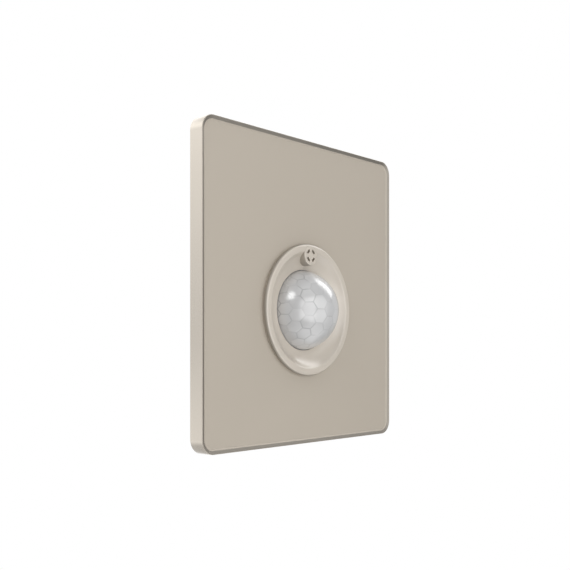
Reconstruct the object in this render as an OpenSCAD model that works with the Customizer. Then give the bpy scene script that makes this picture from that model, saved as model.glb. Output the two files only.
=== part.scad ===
// Motion sensor light switch for a wall box, with a domed lens, a sound port and a pull-off cover.
// Each piece is drawn with X to the right, Y up and Z out of the wall, and the wall at Z = 0.
// The sensor axis runs along Z, a little below the middle of the cover.

/* [Cover] */
// Width of the cover
cover_w = 86; // [84:0.5:92]
// Height of the cover
cover_h = 90; // [86:0.5:96]
// Depth of the cover, from the wall to the crest of its lip
cover_d = 4.7; // [4.6:0.1:6]
// Radius of the cover's corners, seen from the front
corner_r = 4.2; // [3.7:0.1:6]
// Width of the sloped lip round the face
lip_w = 1.3; // [1.2:0.1:1.6]
// Height of the lip above the face
lip_drop = 0.55; // [0.4:0.05:0.7]
// Rounding of the cover's outer front edge
edge_r = 0.15; // [0.1:0.05:0.3]
// Thickness of the face panel
panel_t = 0.8; // [0.7:0.1:0.9]
// Width of the ledge that the face panel is glued to
ledge_w = 2; // [1:0.1:2.1]
// Thickness of that ledge
ledge_t = 0.6; // [0.5:0.1:0.7]
// Thickness of the carrier behind the face panel
carrier_t = 1; // [0.9:0.1:1.2]

/* [Bezel and sound port] */
// Distance of the sensor axis below the middle of the cover
sensor_drop = 5.4; // [0:0.2:6]
// Diameter of the round bezel
bezel_d = 39; // [38:0.2:40]
// Height of the bezel's rim above the face
bezel_rise = 1.8; // [1.6:0.1:2]
// Width of the flat rim
rim_w = 2.2; // [1.8:0.1:2.5]
// Depth of the concave dish below the rim
dish_d = 2.7; // [2.4:0.1:2.8]
// Rounding between the rim and the dish
soft_r = 0.8; // [0.4:0.1:1]
// Wall thickness of the bezel
bezel_t = 1.2; // [1:0.1:1.3]
// Distance of the sound port from the sensor axis
port_r = 16.1; // [16:0.1:16.2]
// Diameter of the post that carries the sound port
post_d = 5.8; // [5.4:0.1:6]
// Height of the post above the rim
post_rise = 0.1; // [0:0.1:1]
// Bore of the sound channel behind the post
channel_d = 2; // [1.8:0.1:2.1]
// Number of curved slots in the post's face
port_slots = 4; // [3:1:4]

/* [Lens] */
// Diameter of the lens dome at its base
lens_d = 23.7; // [23:0.1:24]
// Height of the dome above the bottom of the dish
lens_h = 10.1; // [9:0.1:10.5]
// Thickness of the lens at the middle of a facet
lens_t = 0.75; // [0.65:0.05:0.9]
// Distance between neighbouring facets, measured over the dome
facet_pitch = 4.2; // [3.9:0.1:4.5]
// Rings of facets round the middle one
facet_rings = 3; // [2:1:3]
// Width of the lens flange beyond the dome
flange_w = 1.4; // [1.2:0.1:1.5]
// Thickness of the lens flange
flange_t = 0.8; // [0.6:0.1:0.9]
// Thickness of the ring that holds the lens from behind
retainer_t = 1; // [0.8:0.1:1.1]

/* [Mounting plate] */
// Distance between the two wall box screws
screw_pitch = 60.3; // [60:0.1:60.6]
// Width of the two screw slots
slot_w = 4.4; // [4.3:0.1:4.8]
// Length of the screw slots, end to end
slot_l = 7.5; // [6:0.5:9]
// Thickness of the steel plate
plate_t = 1.4; // [1.2:0.1:1.4]
// Width of the plate's window
window_w = 46; // [44:0.5:46]
// Height of the plate's window
window_h = 52; // [50:0.5:52]
// Diameter of the press pegs that hold the cover on
peg_d = 4; // [3:0.1:4.4]
// Length of a press peg behind the plate
peg_reach = 2.2; // [1.5:0.1:3]

/* [Housing] */
// Width of the housing behind the wall
housing_w = 52; // [51.6:0.1:53]
// Height of the housing
housing_h = 58; // [57.4:0.2:60]
// Depth of the housing behind the wall
housing_d = 28; // [27.4:0.1:31]
// Depth of the straight part of the housing's sides
straight_d = 17; // [16:0.5:17.5]
// Width of the housing's back, where the sides have sloped in
back_w = 31; // [30.5:0.5:34]
// Wall thickness of the housing
wall = 1.6; // [1.4:0.1:1.8]
// Diameter of the four corner pillars
pillar_d = 6.4; // [6:0.1:6.6]

/* [Boards] */
// Thickness of both circuit boards
board_t = 1.6; // [1.2:0.1:1.7]
// Distance of the sensor board behind the wall
board_back = 2.8; // [2.6:0.1:3]
// Room for solder between the power board and the back of the housing
solder_room = 4.4; // [4.2:0.1:4.8]
// Width of the power board
power_w = 36; // [35:0.2:36.4]
// Height of the power board
power_h = 39; // [38.6:0.2:39.4]
// Pitch of the pins that join the two boards
pin_pitch = 2.54; // [2:0.01:2.6]
// Number of those pins
pin_count = 5; // [3:1:5]

/* [Terminals] */
// Distance between neighbouring terminals
way_pitch = 8; // [7.9:0.05:8.2]
// Number of terminals
ways = 3; // [3:1:3]
// Clear width and height for a wire in an open clamp
wire_gap = 4.6; // [4.4:0.1:4.7]
// Thread diameter of the terminal screws
thread_d = 3; // [2.5:0.1:3]
// Diameter of the terminal screw heads
head_d = 5; // [4.4:0.1:5.2]
// Travel of a wire clamp from open to tight
clamp_travel = 2.5; // [1.5:0.1:2.5]

/* [Fits] */
// Gap round a part that is glued or clicked into another
seat_gap = 0.1; // [0.05:0.05:0.15]
// Gap round a part that turns or slides in another
run_gap = 0.3; // [0.2:0.05:0.3]
// Gap round a press peg or a screw in its hole
peg_gap = 0.15; // [0.1:0.05:0.2]

/* [Hidden] */
$fn = 64;

// Levels of the cover, from the front to the back
face_z = cover_d - lip_drop;
ledge_z = face_z - panel_t;
carrier_front = ledge_z - ledge_t;
carrier_back = carrier_front - carrier_t;
inset = lip_w + seat_gap;

// Bezel and lens, measured from the sensor axis
rim_z = face_z + bezel_rise;
dish_z = rim_z - dish_d;
rim_r = bezel_d / 2 - rim_w;
neck_r = rim_r + 0.2;
lens_r = lens_d / 2;
mouth_r = lens_r + 0.2;
flange_r = lens_r + flange_w;
skirt_r = flange_r + seat_gap;
seat_z = dish_z - 0.7;
flange_z = seat_z - flange_t;
skirt_z = flange_z - retainer_t;
dome_r = (lens_r * lens_r + lens_h * lens_h) / (2 * lens_h);
dome_z = dish_z + lens_h - dome_r;
post_z = rim_z + post_rise;
clip_z = carrier_back - 0.1;
clip_h = 0.8;

// Mounting plate and housing
plate_w = cover_w - 2 * (lip_w + 0.8);
plate_h = cover_h - 2 * (lip_w + 0.8);
peg_x = screw_pitch / 2 - 6;
peg_y = (window_h + plate_h) / 4 - 0.5;
pillar_x = housing_w / 2 - 4.2;
pillar_y = housing_h / 2 - 4.2;
back_z = wall - housing_d;
lean = (housing_w - back_w) / 2 / (housing_d - straight_d);
csk_d = 4.7;
csk_h = 1.1;
tap_d = 2.4;

// Boards
sensor_front = -board_back;
sensor_rear = sensor_front - board_t;
power_rear = back_z + solder_room;
power_front = power_rear + board_t;
power_y = 7;
post_x = housing_w / 2 - wall - 2.2;
stud_x = power_w / 2 - 4;
stud_y = power_h / 2 - 3.6;
small_d = 2;
header_y = 22.6;
mic_y = port_r - sensor_drop;
trimmer_x = 14;
trimmer_y = 19;
trimmer_z = sensor_front + 1.4;

// Terminals, from the back of the housing to the front
block_w = ways * way_pitch + 2;
block_y = -housing_h / 2;
block_h = 14;
screw_y = block_y + 7;
head_z = 0.6 - housing_d;
head_h = 2;
shoulder_z = head_z + head_h + 0.1;
cavity_z = shoulder_z + 1.3;
bar_t = 1;
clamp_t = 1.2;
floor_t = 1;
nut_z = cavity_z + 0.15 + clamp_travel;
bar_z = nut_z + clamp_t + 0.15;
floor_z = bar_z + bar_t + wire_gap;
cavity_end = floor_z + floor_t + 0.4;
block_front = cavity_end + 1.2;
strap_t = 0.7;
clamp_w = wire_gap + 2 * strap_t;
cavity_w = clamp_w + 2 * run_gap;
clamp_l = 5;
bar_w = wire_gap - 2 * run_gap;
block_wall = 1.4;
bar_tail = power_y - power_h / 2 + 2;

// Colours
champagne = [0.80, 0.76, 0.71];
beige = [0.72, 0.68, 0.62];
pale_beige = [0.79, 0.75, 0.70];
milky = [0.86, 0.87, 0.88];
natural = [0.90, 0.89, 0.86];
zinc = [0.72, 0.73, 0.74];
tin = [0.80, 0.80, 0.78];
board_green = [0.12, 0.38, 0.22];
board_tan = [0.70, 0.56, 0.34];
black = [0.10, 0.10, 0.11];

// Turns a piece drawn with Z out of the wall so that the wall stands upright
module stand() {
  rotate([90, 0, 0]) children();
}

module at_sensor() {
  translate([0, -sensor_drop, 0]) children();
}

module round_rect(w, h, r) {
  square([w - 2 * r, h], center = true);
  square([w, h - 2 * r], center = true);
  for (x = [-1, 1], y = [-1, 1])
    translate([x * (w / 2 - r), y * (h / 2 - r)]) circle(r);
}

module slab(w, h, r, z0, z1) {
  translate([0, 0, z0]) linear_extrude(z1 - z0) round_rect(w, h, r);
}

module rod(d, z0, z1) {
  translate([0, 0, z0]) cylinder(d = d, h = z1 - z0);
}

module block(x0, x1, y0, y1, z0, z1) {
  translate([x0, y0, z0]) cube([x1 - x0, y1 - y0, z1 - z0]);
}

module obround(l, w, z0, z1) {
  translate([0, 0, z0]) linear_extrude(z1 - z0) {
    square([l - w, w], center = true);
    for (x = [-1, 1]) translate([x * (l - w) / 2, 0]) circle(d = w);
  }
}

// Runs a profile round a rounded rectangle; the profile's X counts outwards from the corner's centre
module run_round(w, h, r) {
  for (k = [0:3]) {
    size = k % 2 == 0 ? [w, h] : [h, w];
    rotate([0, 0, 90 * k]) translate([size[0] / 2 - r, size[1] / 2 - r, 0]) {
      rotate([90, 0, 0]) linear_extrude(size[1] - 2 * r) children();
      rotate_extrude(angle = 90) children();
    }
  }
}

// Pan head screw with a cross recess, its head on the surface at z = 0
module pan_screw(d, l) {
  head = 1.9 * d;
  difference() {
    union() {
      rod(head, 0, 0.65 * d);
      rod(d - 0.1, -l, 0.01);
    }
    for (a = [0, 90]) rotate([0, 0, a]) block(-0.3 * head, 0.3 * head, -0.2, 0.2, 0.35 * d, d);
  }
}

// Body lying along X on two wire legs, as resistors and diodes are fitted
module axial_part(body_d, body_l, span, lift) {
  translate([0, 0, lift]) rotate([0, 90, 0]) rod(body_d, -body_l / 2, body_l / 2);
  translate([0, 0, lift]) rotate([0, 90, 0]) rod(0.7, -span / 2 - 0.35, span / 2 + 0.35);
  for (x = [-1, 1]) translate([x * span / 2, 0, 0]) rod(0.7, 0, lift);
}

module at_each_way() {
  for (i = [0:ways - 1]) translate([(i - (ways - 1) / 2) * way_pitch, 0, 0]) children();
}

module at_pillars() {
  for (x = [-1, 1], y = [-1, 1]) translate([x * pillar_x, y * pillar_y, 0]) children();
}

module at_studs() {
  for (x = [-1, 1], y = [-1, 1]) translate([x * stud_x, power_y + y * stud_y, 0]) children();
}

module at_pins() {
  for (i = [0:pin_count - 1]) translate([(i - (pin_count - 1) / 2) * pin_pitch, header_y, 0]) children();
}

// Cover: frame, face, carrier, bezel, lens and the ring behind it

module lip_profile() {
  back = carrier_front;
  rounding = [for (a = [0:22.5:90]) [corner_r - edge_r + edge_r * cos(a), cover_d - edge_r + edge_r * sin(a)]];
  polygon(concat(
    [[corner_r - lip_w, 0], [corner_r, 0]],
    rounding,
    [
      [corner_r - edge_r - 0.05, cover_d],
      [corner_r - lip_w, face_z],
      [corner_r - lip_w, ledge_z],
      [corner_r - lip_w - ledge_w, ledge_z],
      [corner_r - lip_w - ledge_w, back],
      [corner_r - lip_w, back]
    ]
  ));
}

module trim_frame() {
  color(champagne) stand() run_round(cover_w, cover_h, corner_r) lip_profile();
}

module face_panel() {
  color(beige) stand() difference() {
    slab(cover_w - 2 * inset, cover_h - 2 * inset, corner_r - inset, ledge_z, face_z);
    at_sensor() rod(2 * (neck_r + seat_gap), 0, cover_d);
  }
}

module press_peg() {
  tip = 0.6;
  difference() {
    union() {
      rod(peg_d, tip - peg_reach, carrier_back + 0.01);
      translate([0, 0, -peg_reach]) cylinder(d1 = peg_d - 1.2, d2 = peg_d, h = tip);
    }
    block(-0.4, 0.4, -peg_d, peg_d, -peg_reach - 1, plate_t / 2);
  }
}

module cover_carrier() {
  head_room = 9;
  color(natural) stand() {
    difference() {
      slab(cover_w - 2 * inset, cover_h - 2 * inset, corner_r - inset, carrier_back, carrier_front);
      at_sensor() rod(2 * (neck_r + seat_gap), carrier_back - 1, carrier_front + 1);
      for (x = [-1, 1]) translate([x * screw_pitch / 2, 0, 0])
        obround(slot_l - slot_w + head_room, head_room, carrier_back - 1, carrier_front + 1);
    }
    for (x = [-1, 1], y = [-1, 1]) translate([x * peg_x, y * peg_y, 0]) press_peg();
  }
}

// Half section of the bezel: rim, concave dish, seat for the lens, skirt and neck
module bezel_profile() {
  bowl_w = rim_r - mouth_r;
  bowl_r = (bowl_w * bowl_w + dish_d * dish_d) / (2 * dish_d);
  sweep = asin(bowl_w / bowl_r);
  bowl = [for (k = [1:10]) let (a = sweep * (1 - k / 10))
    [mouth_r + bowl_r * sin(a), dish_z + bowl_r * (1 - cos(a))]];
  soft_x = rim_r + soft_r * tan(sweep / 2);
  soft = [for (k = [0:4]) let (a = sweep * k / 4)
    [soft_x - soft_r * sin(a), rim_z - soft_r * (1 - cos(a))]];
  edge = 0.8;
  rounding = [for (a = [0:15:90]) [bezel_d / 2 - edge + edge * cos(a), rim_z - edge + edge * sin(a)]];
  under = [for (k = [0:6]) let (a = sweep * (0.3 + 0.45 * k / 6))
    [mouth_r + (bowl_r + bezel_t) * sin(a) + 0.3, dish_z + bowl_r - (bowl_r + bezel_t) * cos(a)]];
  polygon(concat(
    [[bezel_d / 2 - 0.5, face_z]],
    rounding,
    soft,
    bowl,
    [
      [mouth_r, seat_z],
      [skirt_r, seat_z],
      [skirt_r, skirt_z],
      [skirt_r + bezel_t, skirt_z],
      [skirt_r + bezel_t, seat_z - 0.2]
    ],
    [for (p = under) if (p[0] > skirt_r + bezel_t && p[0] < neck_r - bezel_t) p],
    [
      [neck_r - bezel_t, ledge_z],
      [neck_r - bezel_t, carrier_back],
      [neck_r, carrier_back],
      [neck_r, face_z]
    ]
  ));
}

// One of the three clips that catch behind the carrier
module bezel_clip() {
  root = carrier_back + 0.6;
  arm_in = neck_r - bezel_t + 0.2;
  arm_out = neck_r - 0.2;
  rotate([0, 0, -7]) rotate_extrude(angle = 14) polygon([
    [arm_in, root],
    [arm_in, clip_z - clip_h],
    [arm_out, clip_z - clip_h],
    [neck_r + 0.8, clip_z - 0.3],
    [neck_r + 0.8, clip_z],
    [arm_out, clip_z],
    [arm_out, root]
  ]);
}

// Post of the sound port and the tube behind it, kept inside the neck where they pass behind the rim
module port_post() {
  difference() {
    translate([0, port_r, 0]) {
      rod(post_d, dish_z - 0.3, post_z);
      rod(channel_d + 1.4, skirt_z + 0.2, dish_z);
    }
    difference() {
      rod(bezel_d, 0, face_z + 0.2);
      rod(2 * neck_r - 0.2, -1, face_z + 1);
    }
  }
}

// Sound channel: a narrow bore that widens behind the slots
module port_channel() {
  top_r = post_d / 2 - 0.75;
  rotate_extrude() polygon([
    [0, skirt_z - 1],
    [channel_d / 2, skirt_z - 1],
    [channel_d / 2, face_z + 0.45],
    [top_r, face_z + 0.45],
    [top_r, post_z - 0.8],
    [0, post_z - 0.8]
  ]);
}

module port_slot() {
  slot_r = 1.62;
  slot_width = 0.75;
  slot_sweep = 50;
  rotate([0, 0, -slot_sweep / 2]) translate([0, 0, post_z - 1]) rotate_extrude(angle = slot_sweep)
    translate([slot_r - slot_width / 2, 0]) square([slot_width, 2]);
}

module sensor_bezel() {
  color(pale_beige) stand() at_sensor() difference() {
    union() {
      rotate_extrude() bezel_profile();
      for (a = [30, 150, 270]) rotate([0, 0, a]) bezel_clip();
      port_post();
    }
    translate([0, port_r, 0]) {
      port_channel();
      for (k = [0:port_slots - 1]) rotate([0, 0, 360 * (k + 0.5) / port_slots]) port_slot();
    }
  }
}

// Hollow of the lens: flat facets, each facing the sensor, spread over the dome in rings
module lens_hollow() {
  step = facet_pitch / dome_r * 180 / PI;
  big = 60;
  intersection() {
    rod(lens_d - 2 * lens_t, flange_z - 1, dish_z + lens_h);
    translate([0, 0, dome_z])
      intersection_for (c = [for (i = [-facet_rings:facet_rings], j = [-facet_rings:facet_rings])
        if (abs(i + j) <= facet_rings) [i * cos(30), i * sin(30) + j] * step])
        rotate([0, 0, atan2(c[1], c[0])]) rotate([0, norm(c), 0])
          block(-big, big, -big, big, -big, dome_r - lens_t);
  }
}

module fresnel_lens() {
  color(milky) stand() at_sensor() difference() {
    union() {
      intersection() {
        translate([0, 0, dome_z]) sphere(dome_r, $fn = 96);
        rod(lens_d, flange_z, dish_z + lens_h + 1);
      }
      rod(2 * flange_r, flange_z, seat_z);
    }
    lens_hollow();
  }
}

module lens_retainer() {
  color(natural) stand() at_sensor() difference() {
    rod(2 * flange_r, skirt_z, flange_z);
    rod(lens_d - 2 * lens_t, skirt_z - 1, flange_z + 1);
  }
}

// Mounting plate and the housing behind it

module mounting_plate() {
  color(zinc) stand() difference() {
    slab(plate_w, plate_h, 2, 0, plate_t);
    slab(window_w, window_h, 2, -1, plate_t + 1);
    for (x = [-1, 1]) translate([x * screw_pitch / 2, 0, 0]) obround(slot_l, slot_w, -1, plate_t + 1);
    for (x = [-1, 1], y = [-1, 1]) translate([x * peg_x, y * peg_y, 0])
      rod(peg_d + 2 * peg_gap, -1, plate_t + 1);
    at_pillars() {
      rod(tap_d + 2 * peg_gap, -1, plate_t + 1);
      translate([0, 0, plate_t - csk_h]) cylinder(d1 = tap_d + 2 * peg_gap, d2 = csk_d + 2 * peg_gap, h = csk_h);
    }
  }
}

module plate_screws() {
  color(tin) stand() at_pillars() difference() {
    union() {
      rod(tap_d, -8, plate_t - csk_h + 0.01);
      translate([0, 0, plate_t - csk_h]) cylinder(d1 = tap_d, d2 = csk_d, h = csk_h);
    }
    for (a = [0, 90]) rotate([0, 0, a]) block(-1.3, 1.3, -0.25, 0.25, plate_t - 0.7, plate_t + 1);
  }
}

// Space between the sloping sides of the housing, drawn in by a given amount on each side
module between_sides(inward) {
  front_x = housing_w / 2 + lean * (straight_d + 1) - inward;
  rear_x = back_w / 2 - lean - inward;
  rotate([90, 0, 0]) translate([0, 0, -housing_h]) linear_extrude(2 * housing_h)
    polygon([[-front_x, 1], [-rear_x, -housing_d - 1], [rear_x, -housing_d - 1], [front_x, 1]]);
}

module rear_housing() {
  pilot = 8.5;
  color(natural) stand() difference() {
    intersection() {
      union() {
        difference() {
          slab(housing_w, housing_h, 3, -housing_d, 0);
          intersection() {
            slab(housing_w - 2 * wall, housing_h - 2 * wall, 1.5, back_z, 1);
            between_sides(wall * sqrt(1 + lean * lean));
          }
        }
        at_pillars() rod(pillar_d, back_z - 0.2, 0);
        at_studs() rod(2.4 * small_d, back_z - 0.2, power_rear);
        for (x = [-1, 1]) translate([x * post_x, 0, 0]) rod(2.5 * small_d, back_z - 0.2, sensor_rear);
      }
      between_sides(0);
    }
    at_pillars() rod(tap_d + 0.1, -pilot, 1);
    at_studs() rod(small_d, power_rear - 4, power_rear + 1);
    for (x = [-1, 1]) translate([x * post_x, 0, 0]) rod(small_d, sensor_rear - 6, sensor_rear + 1);
    block(-block_w / 2 - seat_gap, block_w / 2 + seat_gap, block_y - 1, block_y + block_h + seat_gap,
      -housing_d - 1, block_front + seat_gap);
  }
}

// Sensor board and what it carries

module sensor_board() {
  color(board_green) stand() difference() {
    slab(housing_w - 2 * (wall + run_gap), housing_h - 2 * (wall + run_gap), 1, sensor_rear, sensor_front);
    at_pillars() rod(pillar_d + 2 * run_gap, sensor_rear - 1, sensor_front + 1);
    for (x = [-1, 1]) translate([x * post_x, 0, 0]) rod(small_d + 2 * peg_gap, sensor_rear - 1, sensor_front + 1);
    at_pins() rod(1.1, sensor_rear - 1, sensor_front + 1);
  }
}

module sensor_board_screws() {
  color(tin) stand() for (x = [-1, 1]) translate([x * post_x, 0, sensor_front]) pan_screw(small_d, 6);
}

module pir_sensor() {
  can_h = 4.2;
  color(tin) stand() at_sensor() translate([0, 0, sensor_front]) difference() {
    union() {
      rod(9.2, 0, 0.7);
      rod(8.2, 0, can_h);
    }
    block(-2.1, 2.1, -1.6, 1.6, can_h - 0.5, can_h + 1);
  }
}

module pir_window() {
  can_h = 4.2;
  color(black) stand() at_sensor() translate([0, 0, sensor_front])
    block(-2.05, 2.05, -1.55, 1.55, can_h - 0.5, can_h - 0.05);
}

module light_sensor() {
  color([0.85, 0.85, 0.80]) stand() at_sensor() translate([0, -8, sensor_front]) {
    rod(3.8, 0, 1);
    rod(3, 0, 2.4);
    translate([0, 0, 2.4]) intersection() {
      sphere(1.5);
      rod(4, 0, 2);
    }
  }
}

module microphone() {
  color(tin) stand() translate([0, mic_y, sensor_front]) difference() {
    rod(6, 0, 2.7);
    rod(2, 2.4, 3);
  }
}

module microphone_boot() {
  color(black) stand() translate([0, mic_y, 0]) difference() {
    rod(7.6, sensor_front, skirt_z - 0.2);
    rod(6.1, sensor_front - 1, sensor_front + 2.75);
    rod(channel_d, sensor_front, skirt_z);
  }
}

module control_chip() {
  color(black) stand() translate([0, -21, sensor_front]) {
    block(-4.95, 4.95, -1.95, 1.95, 0.15, 1.6);
    for (i = [0:7]) translate([(i - 3.5) * 1.27, 0, 0]) {
      block(-0.2, 0.2, -3, 3, 0, 0.2);
    }
  }
}

module signal_capacitors() {
  color(tin) stand() for (x = [-1, 1]) translate([x * 13, -20, sensor_front]) {
    block(-2.1, 2.1, -2.1, 2.1, 0, 0.6);
    rod(4, 0, 3.4);
  }
}

module chip_resistors() {
  color(black) stand() for (i = [0:7]) translate([(i - 3.5) * 3.4, -25.4, sensor_front])
    block(-1, 1, -0.6, 0.6, 0, 0.55);
}

module trimmer_body(side) {
  color([0.20, 0.32, 0.62]) stand() translate([side * trimmer_x, trimmer_y, sensor_front]) difference() {
    block(-3.5, 3.5, -3.6, 3.6, 0, 2.8);
    rod(4.2 + 2 * run_gap, 1.3, 3);
  }
}

module trimmer_rotor(side) {
  color(natural) stand() translate([side * trimmer_x, trimmer_y, trimmer_z]) difference() {
    rod(4.2, 0, 2);
    for (a = [0, 90]) rotate([0, 0, a]) block(-1.5, 1.5, -0.35, 0.35, 1, 3);
    block(-0.35, 0.35, 0, 3, 1.5, 3);
  }
}

module time_trimmer_body() {
  trimmer_body(-1);
}

module time_trimmer_rotor() {
  trimmer_rotor(-1);
}

module lux_trimmer_body() {
  trimmer_body(1);
}

module lux_trimmer_rotor() {
  trimmer_rotor(1);
}

module header_base() {
  color(black) stand() difference() {
    translate([0, header_y, 0])
      block(-pin_count * pin_pitch / 2, pin_count * pin_pitch / 2, -1.25, 1.25, power_front, power_front + 2.5);
    at_pins() block(-0.37, 0.37, -0.37, 0.37, power_front - 1, power_front + 4);
  }
}

module header_pins() {
  color([0.80, 0.66, 0.30]) stand() at_pins()
    block(-0.32, 0.32, -0.32, 0.32, power_rear - 1.2, sensor_front + 0.8);
}

// Power board and what it carries

module power_board() {
  color(board_tan) stand() difference() {
    translate([0, power_y, 0]) slab(power_w, power_h, 1, power_rear, power_front);
    at_pillars() rod(pillar_d + 2 * run_gap, power_rear - 1, power_front + 1);
    at_studs() rod(small_d + 2 * peg_gap, power_rear - 1, power_front + 1);
    at_pins() rod(1.1, power_rear - 1, power_front + 1);
    at_each_way() translate([0, bar_tail - 1, 0]) rod(1.8, power_rear - 1, power_front + 1);
  }
}

module power_board_screws() {
  color(tin) stand() at_studs() translate([0, 0, power_front]) pan_screw(small_d, 4.5);
}

module relay() {
  color([0.16, 0.30, 0.55]) stand() translate([-7, 13, power_front]) difference() {
    block(-10, 10, -5, 5, 0, 12.5);
    rod(1, 12, 13);
  }
}

module film_capacitor() {
  color([0.75, 0.60, 0.20]) stand() translate([10.5, 16.6, power_front]) slab(13, 6, 0.8, 0, 11);
}

module bulk_capacitor() {
  can_d = 8;
  can_h = 11.5;
  color(black) stand() translate([12, 7, power_front]) difference() {
    rod(can_d, 0, can_h);
    translate([0, 0, 1.4]) rotate_extrude() translate([can_d / 2, 0]) circle(0.4);
    for (a = [0, 90]) rotate([0, 0, a]) block(-2.6, 2.6, -0.2, 0.2, can_h - 0.25, can_h + 1);
  }
}

module varistor() {
  color([0.15, 0.25, 0.55]) stand() translate([-13, 1, power_front]) {
    translate([0, 0, 5.4]) rotate([90, 0, 0]) rod(7.5, -1.8, 1.8);
    for (x = [-1, 1]) translate([x * 2.5, 0, 0]) rod(0.8, 0, 5);
  }
}

module fuse_resistor() {
  color([0.55, 0.62, 0.45]) stand() translate([-6.5, -5.5, power_front]) axial_part(3.4, 8, 11, 2.2);
}

module rectifier_diodes() {
  color(black) stand() for (i = [0:3]) translate([-5.4 + 3.4 * i, 2.2, power_front])
    rotate([0, 0, 90]) axial_part(2.6, 5.2, 7.6, 1.8);
}

// Terminals: one block, and for each wire a bar, a screw and a clamp that the screw draws up

module terminal_block() {
  rail = 1.4;
  color(natural) stand() difference() {
    union() {
      block(-block_w / 2, block_w / 2, block_y, block_y + block_h, -housing_d, block_front);
      block(-block_w / 2 - rail, block_w / 2 + rail, block_y + wall + 0.5, block_y + block_h, back_z + 0.1, back_z + rail);
    }
    at_each_way() {
      block(-cavity_w / 2, cavity_w / 2, block_y + block_wall, block_y + block_h - block_wall, cavity_z, cavity_end);
      block(-wire_gap / 2, wire_gap / 2, block_y - 1, block_y + 3, bar_z + bar_t, floor_z);
      translate([0, screw_y, 0]) {
        rod(head_d + 2 * run_gap, -housing_d - 1, shoulder_z);
        rod(thread_d + 2 * run_gap, shoulder_z - 1, cavity_z + 1);
      }
      block(-bar_w / 2 - seat_gap, bar_w / 2 + seat_gap, block_y + 0.8, block_y + block_h + 1,
        bar_z - seat_gap, bar_z + bar_t + seat_gap);
    }
  }
}

module terminal_bars() {
  color([0.80, 0.65, 0.35]) stand() at_each_way() {
    block(-bar_w / 2, bar_w / 2, block_y + 0.9, bar_tail, bar_z, bar_z + bar_t);
    block(-0.5, 0.5, bar_tail - 1.5, bar_tail - 0.5, power_rear - 1.2, bar_z + 0.5);
  }
}

module terminal_screw(i) {
  color(tin) stand() translate([(i - 1 - (ways - 1) / 2) * way_pitch, screw_y, 0]) difference() {
    union() {
      rod(head_d, head_z, head_z + head_h);
      rod(thread_d, head_z + head_h - 0.01, bar_z - 0.1);
    }
    block(-head_d, head_d, -0.4, 0.4, head_z - 1, head_z + 1);
  }
}

module wire_clamp(i) {
  color(zinc) stand() translate([(i - 1 - (ways - 1) / 2) * way_pitch, screw_y, 0]) difference() {
    block(-clamp_w / 2, clamp_w / 2, -clamp_l / 2, clamp_l / 2, nut_z, floor_z + floor_t);
    block(-wire_gap / 2, wire_gap / 2, -clamp_l, clamp_l, nut_z + clamp_t, floor_z);
    rod(thread_d + 2 * run_gap, nut_z - 1, nut_z + clamp_t + 1);
  }
}

module terminal_screw_1() {
  terminal_screw(1);
}

module terminal_screw_2() {
  terminal_screw(2);
}

module terminal_screw_3() {
  terminal_screw(3);
}

module wire_clamp_1() {
  wire_clamp(1);
}

module wire_clamp_2() {
  wire_clamp(2);
}

module wire_clamp_3() {
  wire_clamp(3);
}

trim_frame();
face_panel();
cover_carrier();
sensor_bezel();
fresnel_lens();
lens_retainer();
mounting_plate();
rear_housing();
plate_screws();
sensor_board();
sensor_board_screws();
pir_sensor();
pir_window();
light_sensor();
microphone();
microphone_boot();
control_chip();
signal_capacitors();
chip_resistors();
time_trimmer_body();
time_trimmer_rotor();
lux_trimmer_body();
lux_trimmer_rotor();
header_base();
header_pins();
power_board();
power_board_screws();
relay();
film_capacitor();
bulk_capacitor();
varistor();
fuse_resistor();
rectifier_diodes();
terminal_block();
terminal_bars();
terminal_screw_1();
terminal_screw_2();
terminal_screw_3();
wire_clamp_1();
wire_clamp_2();
wire_clamp_3();
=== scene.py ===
import math
import bmesh
import bpy
from mathutils import Matrix, Vector


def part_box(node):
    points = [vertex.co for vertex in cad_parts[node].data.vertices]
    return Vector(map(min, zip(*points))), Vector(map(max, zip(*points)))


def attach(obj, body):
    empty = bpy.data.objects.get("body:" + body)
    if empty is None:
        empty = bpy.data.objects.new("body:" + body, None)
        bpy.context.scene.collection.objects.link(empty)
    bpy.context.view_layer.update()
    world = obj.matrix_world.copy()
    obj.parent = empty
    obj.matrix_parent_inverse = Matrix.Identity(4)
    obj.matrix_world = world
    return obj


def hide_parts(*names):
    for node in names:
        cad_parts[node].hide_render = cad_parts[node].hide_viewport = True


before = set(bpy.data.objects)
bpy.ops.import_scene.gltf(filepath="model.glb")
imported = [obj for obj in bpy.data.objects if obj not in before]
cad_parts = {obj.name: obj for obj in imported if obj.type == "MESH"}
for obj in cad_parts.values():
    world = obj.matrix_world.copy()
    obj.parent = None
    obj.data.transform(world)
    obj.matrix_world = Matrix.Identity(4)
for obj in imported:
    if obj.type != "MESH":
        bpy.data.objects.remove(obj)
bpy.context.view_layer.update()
scene = bpy.context.scene
scene.view_settings.view_transform = "Standard"

# The studio: a level camera to the left of the switch, a pale round floor well below it, and a room
# that is white behind the switch and dim in front. Eight window panes light it from the front, with
# a soft spot up on the left, a strip up on the right, and a weak lamp each above and below.
camera_turn = math.radians(48.953)
eye = bpy.data.cameras.new("camera")
eye.lens = 55.117
eye.sensor_width = 36
eye.shift_y = 0.1117
camera = bpy.data.objects.new("camera", eye)
camera.location = (-0.20033, -0.17026, -0.0169)
camera.rotation_euler = (math.pi / 2, 0, -camera_turn)
scene.collection.objects.link(camera)
scene.camera = camera


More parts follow.
